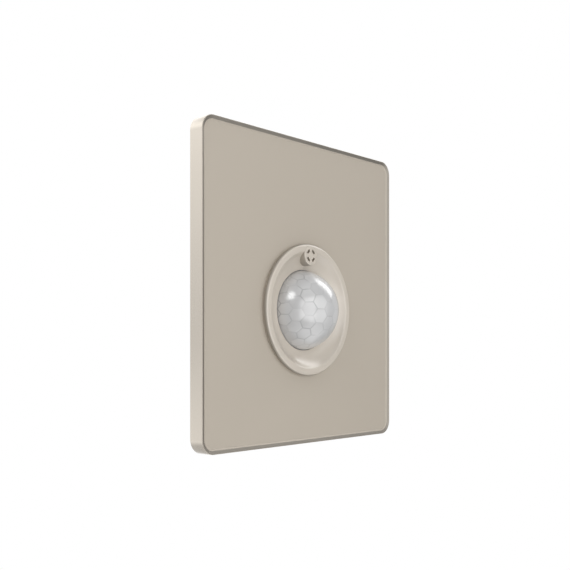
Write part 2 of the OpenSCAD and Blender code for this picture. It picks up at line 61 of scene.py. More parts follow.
class Shade:
    """A socket of a finish; sums written with it become Math nodes."""

    def __init__(self, finish, socket):
        self.finish, self.socket = finish, socket

    def math(self, operation, *values):
        return self.finish.add("ShaderNodeMath", {"operation": operation}, values)

    def __add__(self, other):
        return self.math("ADD", self, other)

    def __radd__(self, other):
        return self.math("ADD", other, self)

    def __sub__(self, other):
        return self.math("SUBTRACT", self, other)

    def __rsub__(self, other):
        return self.math("SUBTRACT", other, self)

    def __mul__(self, other):
        return self.math("MULTIPLY", self, other)

    def __rmul__(self, other):
        return self.math("MULTIPLY", other, self)

    def __truediv__(self, other):
        return self.math("DIVIDE", self, other)

    def __rtruediv__(self, other):
        return self.math("DIVIDE", other, self)

    def __gt__(self, other):
        return self.math("GREATER_THAN", self, other)

    def __lt__(self, other):
        return self.math("LESS_THAN", self, other)

    def __abs__(self):
        return self.math("ABSOLUTE", self)


class Finish:
    """The nodes of one finish. add() makes a node from its type, its settings and its sockets."""

    def __init__(self, owner):
        owner.use_nodes = True
        self.owner, self.tree = owner, owner.node_tree
        self.tree.nodes.clear()

    def add(self, kind, settings=(), sockets=(), out=0):
        node = self.tree.nodes.new(kind)
        for key, value in dict(settings).items():
            if key == "stops":
                self.set_stops(node.color_ramp.elements, value)
            else:
                setattr(node, key, value)
        for key, value in dict(sockets if isinstance(sockets, dict) else enumerate(sockets)).items():
            socket = node.inputs[key]
            if isinstance(value, Shade):
                self.tree.links.new(value.socket, socket)
            elif socket.type == "RGBA" and len(value) == 3:
                socket.default_value = (*value, 1)
            else:
                socket.default_value = value
        return Shade(self, node.outputs[out] if len(node.outputs) else None)

    def set_stops(self, elements, stops):
        while len(elements) < len(stops):
            elements.new(1)
        for element, (place, level) in zip(elements, stops):
            element.position = place
            element.color = (level, level, level, 1)

    def place(self):
        """The point on the surface, in metres, in the switch's own frame."""
        return self.add("ShaderNodeTexCoord", out=3)

    def split(self, spot):
        return [self.add("ShaderNodeSeparateXYZ", (), [spot], out=k) for k in range(3)]

    def axes(self):
        return self.split(self.place())

    def clouds(self, size, detail=2.0, stretch=(1, 1, 1)):
        """Soft noise with lumps of a size in metres; a stretch below 1 draws them out along that axis."""
        spot = self.add("ShaderNodeMapping", {"vector_type": "POINT"},
                        {"Vector": self.place(), "Scale": stretch})
        return self.add("ShaderNodeTexNoise", (), {"Vector": spot, "Scale": 1 / size, "Detail": detail})

    def ramp(self, value, *stops):
        return self.add("ShaderNodeValToRGB", {"stops": stops}, [value])

    def fade(self, value, start, end, last=1.0, first=0.0, curve="SMOOTHSTEP"):
        """Goes from first to last as the value goes from start to end, and stays there."""
        return self.add("ShaderNodeMapRange", {"interpolation_type": curve},
                        [value, start, end, first, last])

    def blend(self, factor, first, second):
        return self.add("ShaderNodeMix", {"data_type": "RGBA"}, {0: factor, 6: first, 7: second}, out=2)

    def close(self, shader, kind="ShaderNodeOutputMaterial"):
        self.add(kind, (), [shader])
        return self.owner


def paint(red, green, blue):
    """A colour written as it looks on a screen, as light."""
    def light(level):
        level /= 255
        return level / 12.92 if level <= 0.04045 else ((level + 0.055) / 1.055) ** 2.4
    return light(red), light(green), light(blue)


front_level, side_level, rear_level = 0.28, 0.22, 0.81
room = Finish(bpy.data.worlds.new("room"))
scene.world = room.owner
aside, depth, rise = room.split(room.add("ShaderNodeTexCoord", out=0))
front = front_level + room.fade(abs(aside), 0.93, 0.99, side_level)
upper = room.fade(rise, 0.0, 0.45, 0.8, curve="LINEAR")
ceiling = room.fade(rise, 0.6, 0.85, 0.7, curve="LINEAR")
lower = room.fade(rise, 0.0, -0.12, 0.36, curve="LINEAR")
ground = room.fade(rise, -0.3, -0.55, 0.46, curve="LINEAR")
rear = rear_level + upper - ceiling + lower - ground
behind = room.fade(depth, 0.05, 0.5)
seen = room.add("ShaderNodeLightPath", out=0)
level = seen + (1 - seen) * (front + behind * (rear - front))
room.close(room.add("ShaderNodeBackground", (), [(1, 1, 1), level]), "ShaderNodeOutputWorld")

floor_r, floor_z, floor_glow = 0.5, -0.6, 0.75
floor_mesh = bpy.data.meshes.new("floor")
shape = bmesh.new()
bmesh.ops.create_circle(shape, cap_ends=True, segments=64, radius=floor_r)
shape.to_mesh(floor_mesh)
shape.free()
floor = bpy.data.objects.new("floor", floor_mesh)
floor.location = (0, 0, floor_z)
scene.collection.objects.link(floor)
pale = Finish(bpy.data.materials.new("pale_floor"))
shown = pale.add("ShaderNodeLightPath", out=0) + pale.add("ShaderNodeLightPath", out=6)
grain = pale.clouds(0.02)
floor_mesh.materials.append(pale.close(pale.add("ShaderNodeAddShader", (), [
    pale.add("ShaderNodeBsdfDiffuse", (), [pale.blend(grain, (0.80, 0.80, 0.80), (0.82, 0.82, 0.82))]),
    pale.add("ShaderNodeEmission", (), [(1, 1, 1), floor_glow * shown]),
])))

sensor_z = -0.0054


def lamp(name, place, width, height, radiance, shape="RECTANGLE", aim=(0, 0, sensor_z)):
    """An area lamp, aimed at the lens, that looks as bright as radiance from anywhere in front of it."""
    light = bpy.data.lights.new(name, "AREA")
    light.shape = shape
    light.size = width
    light.size_y = height
    area = width * height * (math.pi / 4 if shape == "DISK" else 1)
    light.energy = radiance * math.pi * area
    holder = bpy.data.objects.new(name, light)
    turn = (Vector(aim) - Vector(place)).to_track_quat("-Z", "Y")
    holder.matrix_world = Matrix.Translation(place) @ turn.to_matrix().to_4x4()
    scene.collection.objects.link(holder)


lamp("soft_spot", (-0.543, -0.125, 0.440), 0.27, 0.27, 5.4, "DISK")
lamp("strip", (0.77, -0.18, 0.60), 0.36, 0.60, 3.3)
lamp("above", (0, -0.25, 0.435), 0.40, 0.25, 0.45)
lamp("below", (0.10, -0.25, -0.45), 0.60, 0.40, 0.6)
window_y, pane_rise, pane_h = -0.40, 0.129, 0.242
panes = (("far_pane", -0.44, -0.28, 1.5), ("left_pane", -0.28, -0.14, 1.75),
         ("middle_pane", -0.14, 0.0, 1.95), ("right_pane", 0.0, 0.31, 0.9))
for height in (pane_rise, -pane_rise):
    for name, left, right, radiance in panes:
        across = (left + right) / 2
        lamp(name, (across, window_y, height), right - left, pane_h, radiance, aim=(across, 0, height))

# The mounting plate: pressed from zinc plated sheet steel, with a window for the housing.
# Two slots take the wall box screws, and four holes take the press pegs of the cover.
# The wire clamps of the terminals are folded from the same plated steel.


def finish(name):
    return Finish(bpy.data.materials.new(name))


def surface(mix, sockets, height=None, depth=0.0):
    """Ends a finish in its surface, with fine relief of the given depth in metres."""
    sockets = dict(sockets)
    if height is not None:
        sockets["Normal"] = mix.add("ShaderNodeBump", (), {"Distance": depth, "Height": height})
    return mix.close(mix.add("ShaderNodeBsdfPrincipled", (), sockets))


def dress(material, *names):
    for name in names:
        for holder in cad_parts[name].material_slots:
            holder.material = material


spangles_a_metre = 700
zinc = finish("plated_sheet_steel")
spangle = zinc.add("ShaderNodeTexVoronoi", {"feature": "F1"},
                   {"Vector": zinc.place(), "Scale": spangles_a_metre}, out=1)
spangle = zinc.add("ShaderNodeSeparateColor", (), [spangle])
haze = zinc.clouds(0.012, 3)
tone = zinc.blend(spangle, paint(196, 198, 200), paint(214, 214, 211))
tone = zinc.blend(zinc.ramp(haze, (0.45, 0), (0.75, 0.35)), tone, paint(206, 196, 172))
gloss = 0.3 + 0.12 * spangle + 0.1 * haze
plated_steel = surface(zinc, {"Base Color": tone, "Metallic": 1.0, "Roughness": gloss},
                       zinc.clouds(0.0004, 3), depth=0.00001)
dress(plated_steel, "mounting_plate", "wire_clamp_1", "wire_clamp_2", "wire_clamp_3")

# The housing and the terminal block: moulded from off-white flame-retardant plastic.
# The block slides into the housing from below and holds the three wire terminals.
# Faint flow marks, the rings of four ejector pins and a fine texture come from the mould.
pin_x, pin_rows, pin_r, pin_line, back_face = 0.016, (-0.006, 0.018), 0.0025, 0.00012, 0.0279


def from_axis(mix, across, up):
    """How far a point lies from an axis, worked out from its two offsets."""
    return mix.add("ShaderNodeMath", {"operation": "SQRT"}, [across * across + up * up])


flow = finish("moulded_off_white")
cloud = flow.clouds(0.018, 3, (1, 1, 0.4))
fine = flow.clouds(0.00022, 2)
tone = flow.blend(flow.ramp(cloud, (0.35, 0), (0.7, 1)), paint(232, 231, 224), paint(240, 239, 234))
across, inward, up = flow.axes()
pin_ring = 0.0
for z in pin_rows:
    for x in (-pin_x, pin_x):
        pin_ring = pin_ring + (abs(from_axis(flow, across - x, up - z) - pin_r) < pin_line)
pin_ring = pin_ring * (inward > back_face)
tone = flow.blend(0.35 * pin_ring, tone, paint(196, 194, 186))
off_white = surface(flow, {"Base Color": tone, "Roughness": 0.42 + 0.12 * cloud, "IOR": 1.52},
                    fine - 0.6 * pin_ring, depth=0.00003)
dress(off_white, "rear_housing", "terminal_block")

# Every screw is bright zinc plated steel with a faint turned grain.
# Four countersunk screws hold the plate to the housing and small pan heads hold the boards.
# Slotted ones draw up the wire clamps.
turned = finish("bright_zinc")
tarnish = turned.clouds(0.0015, 3)
lathe = turned.clouds(0.00012, 2, (1, 0.05, 1))
tone = turned.blend(turned.ramp(tarnish, (0.35, 0), (0.75, 1)), paint(222, 222, 218), paint(196, 195, 184))
bright_zinc = surface(turned, {"Base Color": tone, "Metallic": 1.0, "Roughness": 0.2 + 0.18 * tarnish},
                      lathe, depth=0.00001)
dress(bright_zinc, "plate_screws", "sensor_board_screws", "power_board_screws",
      "terminal_screw_1", "terminal_screw_2", "terminal_screw_3")

# The power board: bare tan paper laminate with tinned copper runs on its solder side.
# It lies at the bottom of the housing on four posts.
skin = 0.0001  # a point this near a face counts as on it


def cell_edges(mix, cells_a_metre):
    """Square cells, 0 along their borders and growing inward, from which copper runs are drawn."""
    nearest, next_one = [mix.add("ShaderNodeTexVoronoi", {"feature": kind, "distance": "MANHATTAN"},
                                 {"Vector": mix.place(), "Scale": cells_a_metre}) for kind in ("F1", "F2")]
    return next_one - nearest


laminate = finish("paper_laminate")
across, inward, up = laminate.axes()
fibre = laminate.clouds(0.0012, 4, (1, 1, 0.2))
solder_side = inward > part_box("power_board")[1].y - skin
runs = solder_side * (cell_edges(laminate, 260) > 0.22)
tone = laminate.blend(fibre, paint(196, 164, 112), paint(214, 184, 132))
tone = laminate.blend(runs, tone, paint(200, 198, 190))
tan_board = surface(laminate, {"Base Color": tone, "Metallic": runs, "Roughness": 0.55 - 0.25 * runs},
                    fibre * 0.3 + runs, depth=0.00004)
dress(tan_board, "power_board")

# The relay sits in a glossy blue case, ultrasonically closed, with a pip on its lid.
# The varistor is a disc dipped in blue epoxy on two wires.
relay_case = finish("blue_case")
cloud = relay_case.clouds(0.006, 3)
tone = relay_case.blend(cloud, paint(36, 74, 146), paint(48, 92, 168))
dress(surface(relay_case, {"Base Color": tone, "Roughness": 0.22 + 0.12 * cloud},
              relay_case.clouds(0.0003), depth=0.00001), "relay")
dipped = finish("blue_epoxy")
cloud = dipped.clouds(0.0014, 3)
sag = dipped.clouds(0.004, 2)
tone = dipped.blend(cloud, paint(34, 62, 140), paint(44, 78, 160))
dress(surface(dipped, {"Base Color": tone, "Roughness": 0.25 + 0.2 * cloud,
                       "Coat Weight": 0.4, "Coat Roughness": 0.1}, sag, depth=0.0003), "varistor")

# The film capacitor is a box of yellow plastic filled with resin.
# The round one is an aluminium can in a black shrink sleeve with a pale polarity stripe.
boxed = finish("yellow_case")
cloud = boxed.clouds(0.004, 3)
tone = boxed.blend(cloud, paint(206, 170, 74), paint(222, 188, 92))
dress(surface(boxed, {"Base Color": tone, "Roughness": 0.28 + 0.15 * cloud},
              boxed.clouds(0.0003), depth=0.00001), "film_capacitor")


def extent(name):
    """A node's lowest and highest corner, and its middle."""
    low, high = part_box(name)
    return low, high, (low + high) / 2


stripe_start, stripe_half, lid_t = 0.0018, 0.0020, 0.0003
sleeve = finish("black_sleeve")
across, inward, up = sleeve.axes()
low, high, middle = extent("bulk_capacitor")
stripe = (across - middle.x > stripe_start) * (abs(up - middle.z) < stripe_half)
lid = inward < low.y + lid_t
rough = sleeve.clouds(0.0008, 3)
tone = sleeve.blend(stripe, paint(30, 30, 32), paint(168, 170, 172))
tone = sleeve.blend(lid, tone, paint(200, 200, 198))
dress(surface(sleeve, {"Base Color": tone, "Metallic": lid, "Roughness": 0.24 + 0.15 * rough},
              rough, depth=0.00002), "bulk_capacitor")

# The fusible resistor has a grey-green flame-proof coat with painted bands.
# The four rectifier diodes are black epoxy with a silver band at the cathode end.
coat_half, band_half = 0.0041, 0.0004
bands = ((-0.0026, (120, 70, 40)), (-0.0012, (30, 30, 30)),
         (0.0002, (150, 60, 40)), (0.0024, (190, 150, 70)))
coat = finish("flame_proof_coat")
across, inward, up = coat.axes()
low, high, middle = extent("fuse_resistor")
wire = abs(across - middle.x) > coat_half
grit = coat.clouds(0.0003, 3)
tone = coat.blend(grit, paint(136, 150, 122), paint(156, 170, 140))
for place, colour in bands:
    tone = coat.blend(abs(across - (middle.x + place)) < band_half, tone, paint(*colour))
tone = coat.blend(wire, tone, paint(206, 204, 198))
dress(surface(coat, {"Base Color": tone, "Metallic": wire, "Roughness": 0.5 + 0.2 * grit - 0.3 * wire},
              grit, depth=0.00003), "fuse_resistor")
diode_half, cathode = 0.00265, 0.0017
moulded = finish("black_diode")
across, inward, up = moulded.axes()
low, high, middle = extent("rectifier_diodes")
wire = abs(up - middle.z) > diode_half
band = abs(up - (middle.z + cathode)) < band_half
grit = moulded.clouds(0.0004, 3)
tone = moulded.blend(grit, paint(34, 34, 36), paint(48, 48, 50))
tone = moulded.blend(band, tone, paint(188, 188, 184))
tone = moulded.blend(wire, tone, paint(206, 204, 198))
dress(surface(moulded, {"Base Color": tone, "Metallic": wire, "Roughness": 0.5 + 0.15 * grit - 0.25 * wire},
              grit, depth=0.00002), "rectifier_diodes")

# The terminal bars are stamped from bright brass, with a slight tarnish.
# Each runs from its clamp to the power board and is soldered there.
brass = finish("bright_brass")
tarnish = brass.clouds(0.003, 4)
tone = brass.blend(tarnish, paint(222, 186, 112), paint(192, 150, 84))
dress(surface(brass, {"Base Color": tone, "Metallic": 1.0, "Roughness": 0.22 + 0.2 * tarnish},
              brass.clouds(0.0003, 2, (1, 1, 0.05)), depth=0.00001), "terminal_bars")

# The header: square gold-flashed pins pressed through a black moulded strip.
# It joins the power board to the sensor board.
strip_black = finish("black_strip")
grit = strip_black.clouds(0.0005, 3)
tone = strip_black.blend(grit, paint(30, 30, 32), paint(44, 44, 46))
dress(surface(strip_black, {"Base Color": tone, "Roughness": 0.45 + 0.15 * grit}, grit, depth=0.00002),
      "header_base")
flash = finish("gold_flash")
grit = flash.clouds(0.0008, 3)
tone = flash.blend(grit, paint(226, 190, 104), paint(206, 168, 84))
dress(surface(flash, {"Base Color": tone, "Metallic": 1.0, "Roughness": 0.18 + 0.16 * grit},
              grit, depth=0.000005), "header_pins")

# The sensor board: glass fibre laminate under a green solder mask, with copper runs below it.
# It rests on two posts of the housing and carries the sensors, the chip and the trimmers.
mask = finish("green_solder_mask")
weave = mask.add("ShaderNodeTexWave", {"wave_type": "BANDS", "bands_direction": "X"},
                 {"Vector": mask.place(), "Scale": 500.0})
runs = cell_edges(mask, 330) < 0.16
grit = mask.clouds(0.003, 3)
tone = mask.blend(0.4 * grit, paint(22, 92, 56), paint(34, 112, 70))
tone = mask.blend(runs, tone, paint(54, 138, 84))
dress(surface(mask, {"Base Color": tone, "Roughness": 0.28 + 0.12 * grit,
                     "Coat Weight": 0.3, "Coat Roughness": 0.15},
              runs + 0.15 * weave, depth=0.00003), "sensor_board")

# The heat sensor: a drawn and nickel plated can with a dark coated silicon window.
# Beside it stand a water-clear photo transistor and the microphone, a small drawn can.
nickel = finish("nickel_can")
smudge = nickel.clouds(0.003, 3)
tone = nickel.blend(smudge, paint(214, 212, 206), paint(196, 192, 184))
dress(surface(nickel, {"Base Color": tone, "Metallic": 1.0, "Roughness": 0.16 + 0.16 * smudge},
              nickel.clouds(0.0002, 2, (1, 0.08, 1)), depth=0.000008), "pir_sensor")
silicon = finish("coated_silicon")
smudge = silicon.clouds(0.0016, 2)
tone = silicon.blend(smudge, paint(40, 36, 46), paint(58, 48, 60))
dress(surface(silicon, {"Base Color": tone, "Roughness": 0.08 + 0.1 * smudge, "IOR": 2.2}), "pir_window")
epoxy = finish("clear_epoxy")
smudge = epoxy.clouds(0.0014, 2)
tone = epoxy.blend(smudge, paint(236, 238, 236), paint(222, 226, 224))
dress(surface(epoxy, {"Base Color": tone, "Roughness": 0.08 + 0.1 * smudge, "Transmission Weight": 0.6}),
      "light_sensor")
capsule = finish("capsule_aluminium")
smudge = capsule.clouds(0.002, 3)
tone = capsule.blend(smudge, paint(216, 217, 216), paint(198, 198, 194))
dress(surface(capsule, {"Base Color": tone, "Metallic": 1.0, "Roughness": 0.26 + 0.16 * smudge},
              capsule.clouds(0.0002, 2, (1, 0.08, 1)), depth=0.000008), "microphone")

# The microphone's boot is moulded from soft black rubber.
# It is pushed over the can and seals it to the sound channel, and a dull bloom comes to its surface.
boot = finish("soft_rubber")
bloom = boot.clouds(0.002, 3)
tone = boot.blend(bloom, paint(30, 30, 30), paint(48, 47, 46))
dress(surface(boot, {"Base Color": tone, "Roughness": 0.7 + 0.15 * bloom},
              boot.clouds(0.0002, 3), depth=0.00003), "microphone_boot")

# The control chip is black epoxy on tinned legs, with a round dimple at its first leg.
# Chip resistors have tinned ends and a dark glaze; the small capacitors are bare cans on a black foot.
chip_half, dimple_x, dimple_z, dimple_r_squared = 0.00196, 0.0015, -0.0008, 2e-7
chip = finish("chip_epoxy")
across, inward, up = chip.axes()
low, high, middle = extent("control_chip")
legs = abs(up - middle.z) > chip_half
beside, above = across - (low.x + dimple_x), up - (middle.z + dimple_z)
dimple = beside * beside + above * above < dimple_r_squared
grit = chip.clouds(0.00025, 3)
tone = chip.blend(grit, paint(34, 34, 36), paint(46, 46, 48))
tone = chip.blend(legs, chip.blend(dimple, tone, paint(26, 26, 28)), paint(208, 208, 204))
dress(surface(chip, {"Base Color": tone, "Metallic": legs, "Roughness": 0.5 + 0.15 * grit - 0.25 * legs},
              grit - 2 * dimple, depth=0.00002), "control_chip")
resistor_step, resistor_half, glaze_half = 0.0034, 0.001, 0.00062
glaze = finish("resistor_glaze")
across, inward, up = glaze.axes()
low, high, middle = extent("chip_resistors")
along = glaze.add("ShaderNodeMath", {"operation": "FLOORED_MODULO"}, [across - low.x, resistor_step])
ends = abs(along - resistor_half) > glaze_half
grit = glaze.clouds(0.0003, 3)
tone = glaze.blend(grit, paint(28, 28, 30), paint(40, 40, 42))
tone = glaze.blend(ends, tone, paint(204, 204, 200))
dress(surface(glaze, {"Base Color": tone, "Metallic": ends, "Roughness": 0.25 + 0.15 * grit},
              grit, depth=0.00001), "chip_resistors")
foot_t, mark_z = 0.0006, 0.0008
bare_can = finish("bare_can")
across, inward, up = bare_can.axes()
low, high, middle = extent("signal_capacitors")
foot = inward > high.y - foot_t
mark = (inward < low.y + skin / 2) * (up > middle.z + mark_z)
smudge = bare_can.clouds(0.002, 3)
tone = bare_can.blend(smudge, paint(218, 218, 216), paint(200, 200, 197))
tone = bare_can.blend(mark, tone, paint(40, 42, 52))
tone = bare_can.blend(foot, tone, paint(34, 34, 36))
gloss = 0.26 + 0.14 * smudge + 0.2 * foot
dress(surface(bare_can, {"Base Color": tone, "Metallic": 1 - foot, "Roughness": gloss},
              bare_can.clouds(0.0002, 2, (1, 0.08, 1)), depth=0.000008), "signal_capacitors")

# The two trimmers set the time and the light level: blue moulded bodies soldered to the sensor board.
# Their off-white rotors are turned by a small driver once the cover is off.
trimmer_body = finish("trimmer_blue")
grit = trimmer_body.clouds(0.0006, 3)
tone = trimmer_body.blend(grit, paint(44, 82, 158), paint(58, 98, 174))
dress(surface(trimmer_body, {"Base Color": tone, "Roughness": 0.4 + 0.15 * grit}, grit, depth=0.00002),
      "time_trimmer_body", "lux_trimmer_body")
rotor = finish("trimmer_off_white")
grit = rotor.clouds(0.0006, 3)
tone = rotor.blend(grit, paint(230, 228, 220), paint(240, 239, 233))
dress(surface(rotor, {"Base Color": tone, "Roughness": 0.42 + 0.15 * grit}, grit, depth=0.00002),
      "time_trimmer_rotor", "lux_trimmer_rotor")

# The cover's carrier and the ring behind the lens are moulded from off-white plastic.
# The carrier has four split press pegs; the ring is welded to the bezel's skirt.
tray = finish("carrier_off_white")
cloud = tray.clouds(0.02, 3)
tone = tray.blend(tray.ramp(cloud, (0.3, 0), (0.7, 1)), paint(233, 231, 223), paint(241, 240, 235))
dress(surface(tray, {"Base Color": tone, "Roughness": 0.4 + 0.14 * cloud},
              tray.clouds(0.00022, 2), depth=0.00002), "cover_carrier", "lens_retainer")

# The frame of the cover: extruded champagne aluminium, mitred and welded at the corners.
# Its outside is satin anodised with a fine grain along the edge; the inward slope is painted darker as
# painted shade and a painted dark reflection, the rounding of the cut edge is painted paler as a painted
# highlight, and the foot of the slope has a paler tone like the face.
cover_w, cover_h, cover_d = 0.0860, 0.0900, 0.0047
corner_r, edge_r, back_r, corner_steps = 0.0042, 0.00015, 0.0001, 20
lip_w, lip_drop, crest_w, pale_from, seat_gap = 0.0013, 0.00055, 0.00005, 0.68, 0.0001
ledge_w, panel_t, ledge_t = 0.0020, 0.0008, 0.0006
face_y = -(cover_d - lip_drop)
back_y = cover_d - lip_drop - panel_t - ledge_t


def stand(x, z, out):
    """A point drawn to the right, up and out of the wall, in the switch's own frame."""
    return Vector((x, -out, z))


def make_piece(name, shape, finishes, body, slot, *nodes, crease):
    """Turns drawn faces into a piece that rides on a body and stands for its solids."""
    bmesh.ops.recalc_face_normals(shape, faces=shape.faces)
    mesh = bpy.data.meshes.new(name)
    shape.to_mesh(mesh)
    shape.free()
    mesh.shade_smooth()
    mesh.set_sharp_from_angle(angle=math.radians(crease))
    for material in finishes:
        mesh.materials.append(material)
    made = bpy.data.objects.new(name, mesh)
    scene.collection.objects.link(made)
    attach(made, body)
    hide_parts(*nodes)


def join_rings(shape, rings, kinds=None, closed=True, whole=True):
    """Faces between neighbouring rings of points; kinds holds the finish of each strip."""
    count = len(rings)
    for k in range(count if closed else count - 1):
        first, second = rings[k], rings[(k + 1) % count]
        for i in range(len(first) if whole else len(first) - 1):
            j = (i + 1) % len(first)
            face = shape.faces.new((first[i], first[j], second[j], second[i]))
            face.material_index = kinds[k] if kinds else 0


def corner_stations(steps):
    """Points of a rounded rectangle: the corner's centre and the direction away from it."""
    found = []
    for k, (sx, sz) in enumerate(((1, 1), (-1, 1), (-1, -1), (1, -1))):
        centre = (sx * (cover_w / 2 - corner_r), sz * (cover_h / 2 - corner_r))
        for i in range(steps + 1):
            angle = math.pi / 2 * (k + i / steps)
            found.append((centre, (math.cos(angle), math.sin(angle))))
    return found


outline = [(corner_r - back_r, 0.0)]
outline += [(corner_r - back_r + back_r * math.sin(a), back_r - back_r * math.cos(a))
            for a in (math.pi / 8 * k for k in range(1, 5))]
outline += [(corner_r - edge_r + edge_r * math.cos(a), cover_d - edge_r + edge_r * math.sin(a))
            for a in (math.pi / 16 * k for k in range(9))]
turn = len(outline) - 1
slope_top = corner_r - edge_r - crest_w
slope_foot = corner_r - lip_w - seat_gap
outline += [(slope_top + (slope_foot - slope_top) * t, cover_d - lip_drop * t) for t in (0, pale_from, 1)]
outline += [(corner_r - lip_w, -face_y - seat_gap), (corner_r - lip_w, -face_y - panel_t),
            (corner_r - lip_w - ledge_w, -face_y - panel_t), (corner_r - lip_w - ledge_w, back_y),
            (corner_r - lip_w, back_y), (corner_r - lip_w, 0.0)]
# Kinds of strip: the slope's strips take the painted shade, the rounding of the cut edge a painted
# highlight, and the foot of the slope the paler tone.
outside, slope, highlight_and_foot = 0, 1, 2
kinds = [outside] * len(outline)
kinds[turn - 6:turn + 3] = [highlight_and_foot] * 4 + [slope] * 4 + [highlight_and_foot]
shape = bmesh.new()
stations = corner_stations(corner_steps)
rings = [[shape.verts.new(stand(c[0] + reach * d[0], c[1] + reach * d[1], out)) for c, d in stations]
         for reach, out in outline]
join_rings(shape, rings, kinds)

satin = finish("satin_champagne")
brushed = satin.clouds(0.00012, 3, (0.004, 1, 0.004))
soft = satin.clouds(0.02, 2)
tone = satin.blend(0.3 * brushed + 0.5 * soft, paint(199, 191, 180), paint(209, 202, 192))
satin_champagne = surface(satin, {"Base Color": tone, "Metallic": 1.0, "Roughness": 0.18 + 0.1 * brushed},
                          brushed, depth=0.000002)
# The inward slope: the same champagne metal painted darker, as painted shade and a painted dark reflection.
slope_shade_finish = finish("painted_shade_champagne")
soft = slope_shade_finish.clouds(0.01, 3)
tone = slope_shade_finish.blend(soft, paint(158, 152, 143), paint(166, 160, 151))
painted_shade_champagne = surface(slope_shade_finish, {"Base Color": tone, "Metallic": 1.0, "Roughness": 0.43 + 0.1 * soft},
                           slope_shade_finish.clouds(0.0006, 2), depth=0.000002)
# The rounding of the cut edge is painted paler as a painted highlight; the foot of the slope takes the same
# paler tone, close to the face's beige.
edge_highlight_finish = finish("highlight_and_foot_champagne")
soft = edge_highlight_finish.clouds(0.008, 3)
tone = edge_highlight_finish.blend(soft, paint(188, 179, 166), paint(194, 185, 172))
highlight_and_foot_champagne = surface(edge_highlight_finish, {"Base Color": tone, "Metallic": 0.2, "Roughness": 0.4 + 0.1 * soft},
                         edge_highlight_finish.clouds(0.0006, 2), depth=0.000002)
make_piece("cover_frame", shape, [satin_champagne, painted_shade_champagne, highlight_and_foot_champagne],
           "cover", "champagne_metal", "trim_frame", crease=20)

# The face: a flat panel sprayed satin beige and glued into the frame.
# The paint has a very fine even grain.
sprayed = finish("satin_beige_paint")
mottle = sprayed.clouds(0.03, 2)
grain = sprayed.clouds(0.00012, 2)
tone = sprayed.blend(0.6 * mottle + 0.4 * grain, paint(181, 172, 159), paint(184, 175, 162))
satin_beige = surface(sprayed, {"Base Color": tone, "Roughness": 0.38 + 0.06 * grain, "IOR": 1.45},
                      grain, depth=0.000004)
dress(satin_beige, "face_panel")

# The bezel: one satin beige moulding, with a flat rim, a concave dish and a neck clipped into the carrier.
# A post at the top of the dish carries the sound port, four curved slots over a channel.
# The outer wall of the rim and the wall of the post are painted darker, as painted shade, and given a
# duller skin.
bezel_r, bezel_rise, bezel_t, foot_inset = 0.0195, 0.0018, 0.0012, 0.0005
rim_w, brim_r, soft_r, dish_d, mouth_t, neck_gap = 0.0022, 0.0008, 0.0008, 0.0027, 0.0007, 0.0002
lens_r, lens_h, lens_t, lens_gap = 0.01185, 0.0101, 0.00075, 0.0002
flange_w, flange_t, flange_gap, ring_t, tray_t = 0.0014, 0.0008, 0.0001, 0.0010, 0.0010
bezel_steps = 240
rim_out = -face_y + bezel_rise
dish_out = rim_out - dish_d
rim_r = bezel_r - rim_w
neck_r = rim_r + neck_gap
neck_in = neck_r - bezel_t
mouth_r = lens_r + lens_gap
seat_out = dish_out - mouth_t
skirt_r = lens_r + flange_w + flange_gap
skirt_out = seat_out - flange_t - ring_t
tray_back = back_y - tray_t
bowl_w = rim_r - mouth_r
bowl_r = (bowl_w ** 2 + dish_d ** 2) / (2 * dish_d)
sweep = math.asin(bowl_w / bowl_r)


def arc(count):
    return [k / count for k in range(count + 1)]


def sensor_rings(shape, profile, stations):
    """Rings of points about the sensor axis, one for each point of a half section."""
    return [[shape.verts.new(stand(r * math.cos(a), sensor_z + r * math.sin(a), out)) for a in stations]
            for r, out in profile]


def turn_profile(shape, profile, steps, start=0.0, angle=2 * math.pi):
    """Turns a closed half section about the sensor axis, all round or through an angle."""
    whole = angle == 2 * math.pi
    stations = [start + angle * k / steps for k in range(steps if whole else steps + 1)]
    loops = sensor_rings(shape, profile, stations)
    join_rings(shape, loops, whole=whole)
    if not whole:
        shape.faces.new([loop[0] for loop in loops])
        shape.faces.new([loop[-1] for loop in loops][::-1])


section = [(bezel_r - foot_inset, -face_y)]
section += [(bezel_r - brim_r + brim_r * math.cos(a), rim_out - brim_r + brim_r * math.sin(a))
            for a in (math.pi / 2 * t for t in arc(8))]
soft_x = rim_r + soft_r * math.tan(sweep / 2)
section += [(bezel_r - brim_r + (soft_x - bezel_r + brim_r) * t, rim_out) for t in arc(10)[1:-1]]
section += [(soft_x - soft_r * math.sin(a), rim_out - soft_r * (1 - math.cos(a)))
            for a in (sweep * t for t in arc(8))]
bowl_top = math.asin((soft_x - soft_r * math.sin(sweep) - mouth_r) / bowl_r)
section += [(mouth_r + bowl_r * math.sin(a), dish_out + bowl_r * (1 - math.cos(a)))
            for a in (bowl_top * (1 - t) for t in arc(20)[1:])]
under_r, under_shift, under_gap = bowl_r + bezel_t, 0.0003, 0.0002
section += [(mouth_r, seat_out), (skirt_r, seat_out), (skirt_r, skirt_out), (skirt_r + bezel_t, skirt_out),
            (skirt_r + bezel_t, seat_out - under_gap)]
under = [(mouth_r + under_r * math.sin(a) + under_shift, dish_out + bowl_r - under_r * math.cos(a))
         for a in (sweep * (0.3 + 0.45 * t) for t in arc(6))]
section += [p for p in under if skirt_r + bezel_t < p[0] < neck_in]
section += [(neck_in, -face_y - panel_t), (neck_in, tray_back), (neck_r, tray_back), (neck_r, -face_y)]
shape = bmesh.new()
turn_profile(shape, section, bezel_steps)
clip_root, clip_inset, clip_h, clip_reach, clip_edge, clip_half = 0.0006, 0.0002, 0.0008, 0.0008, 0.0003, 7
clip_out = tray_back - seat_gap
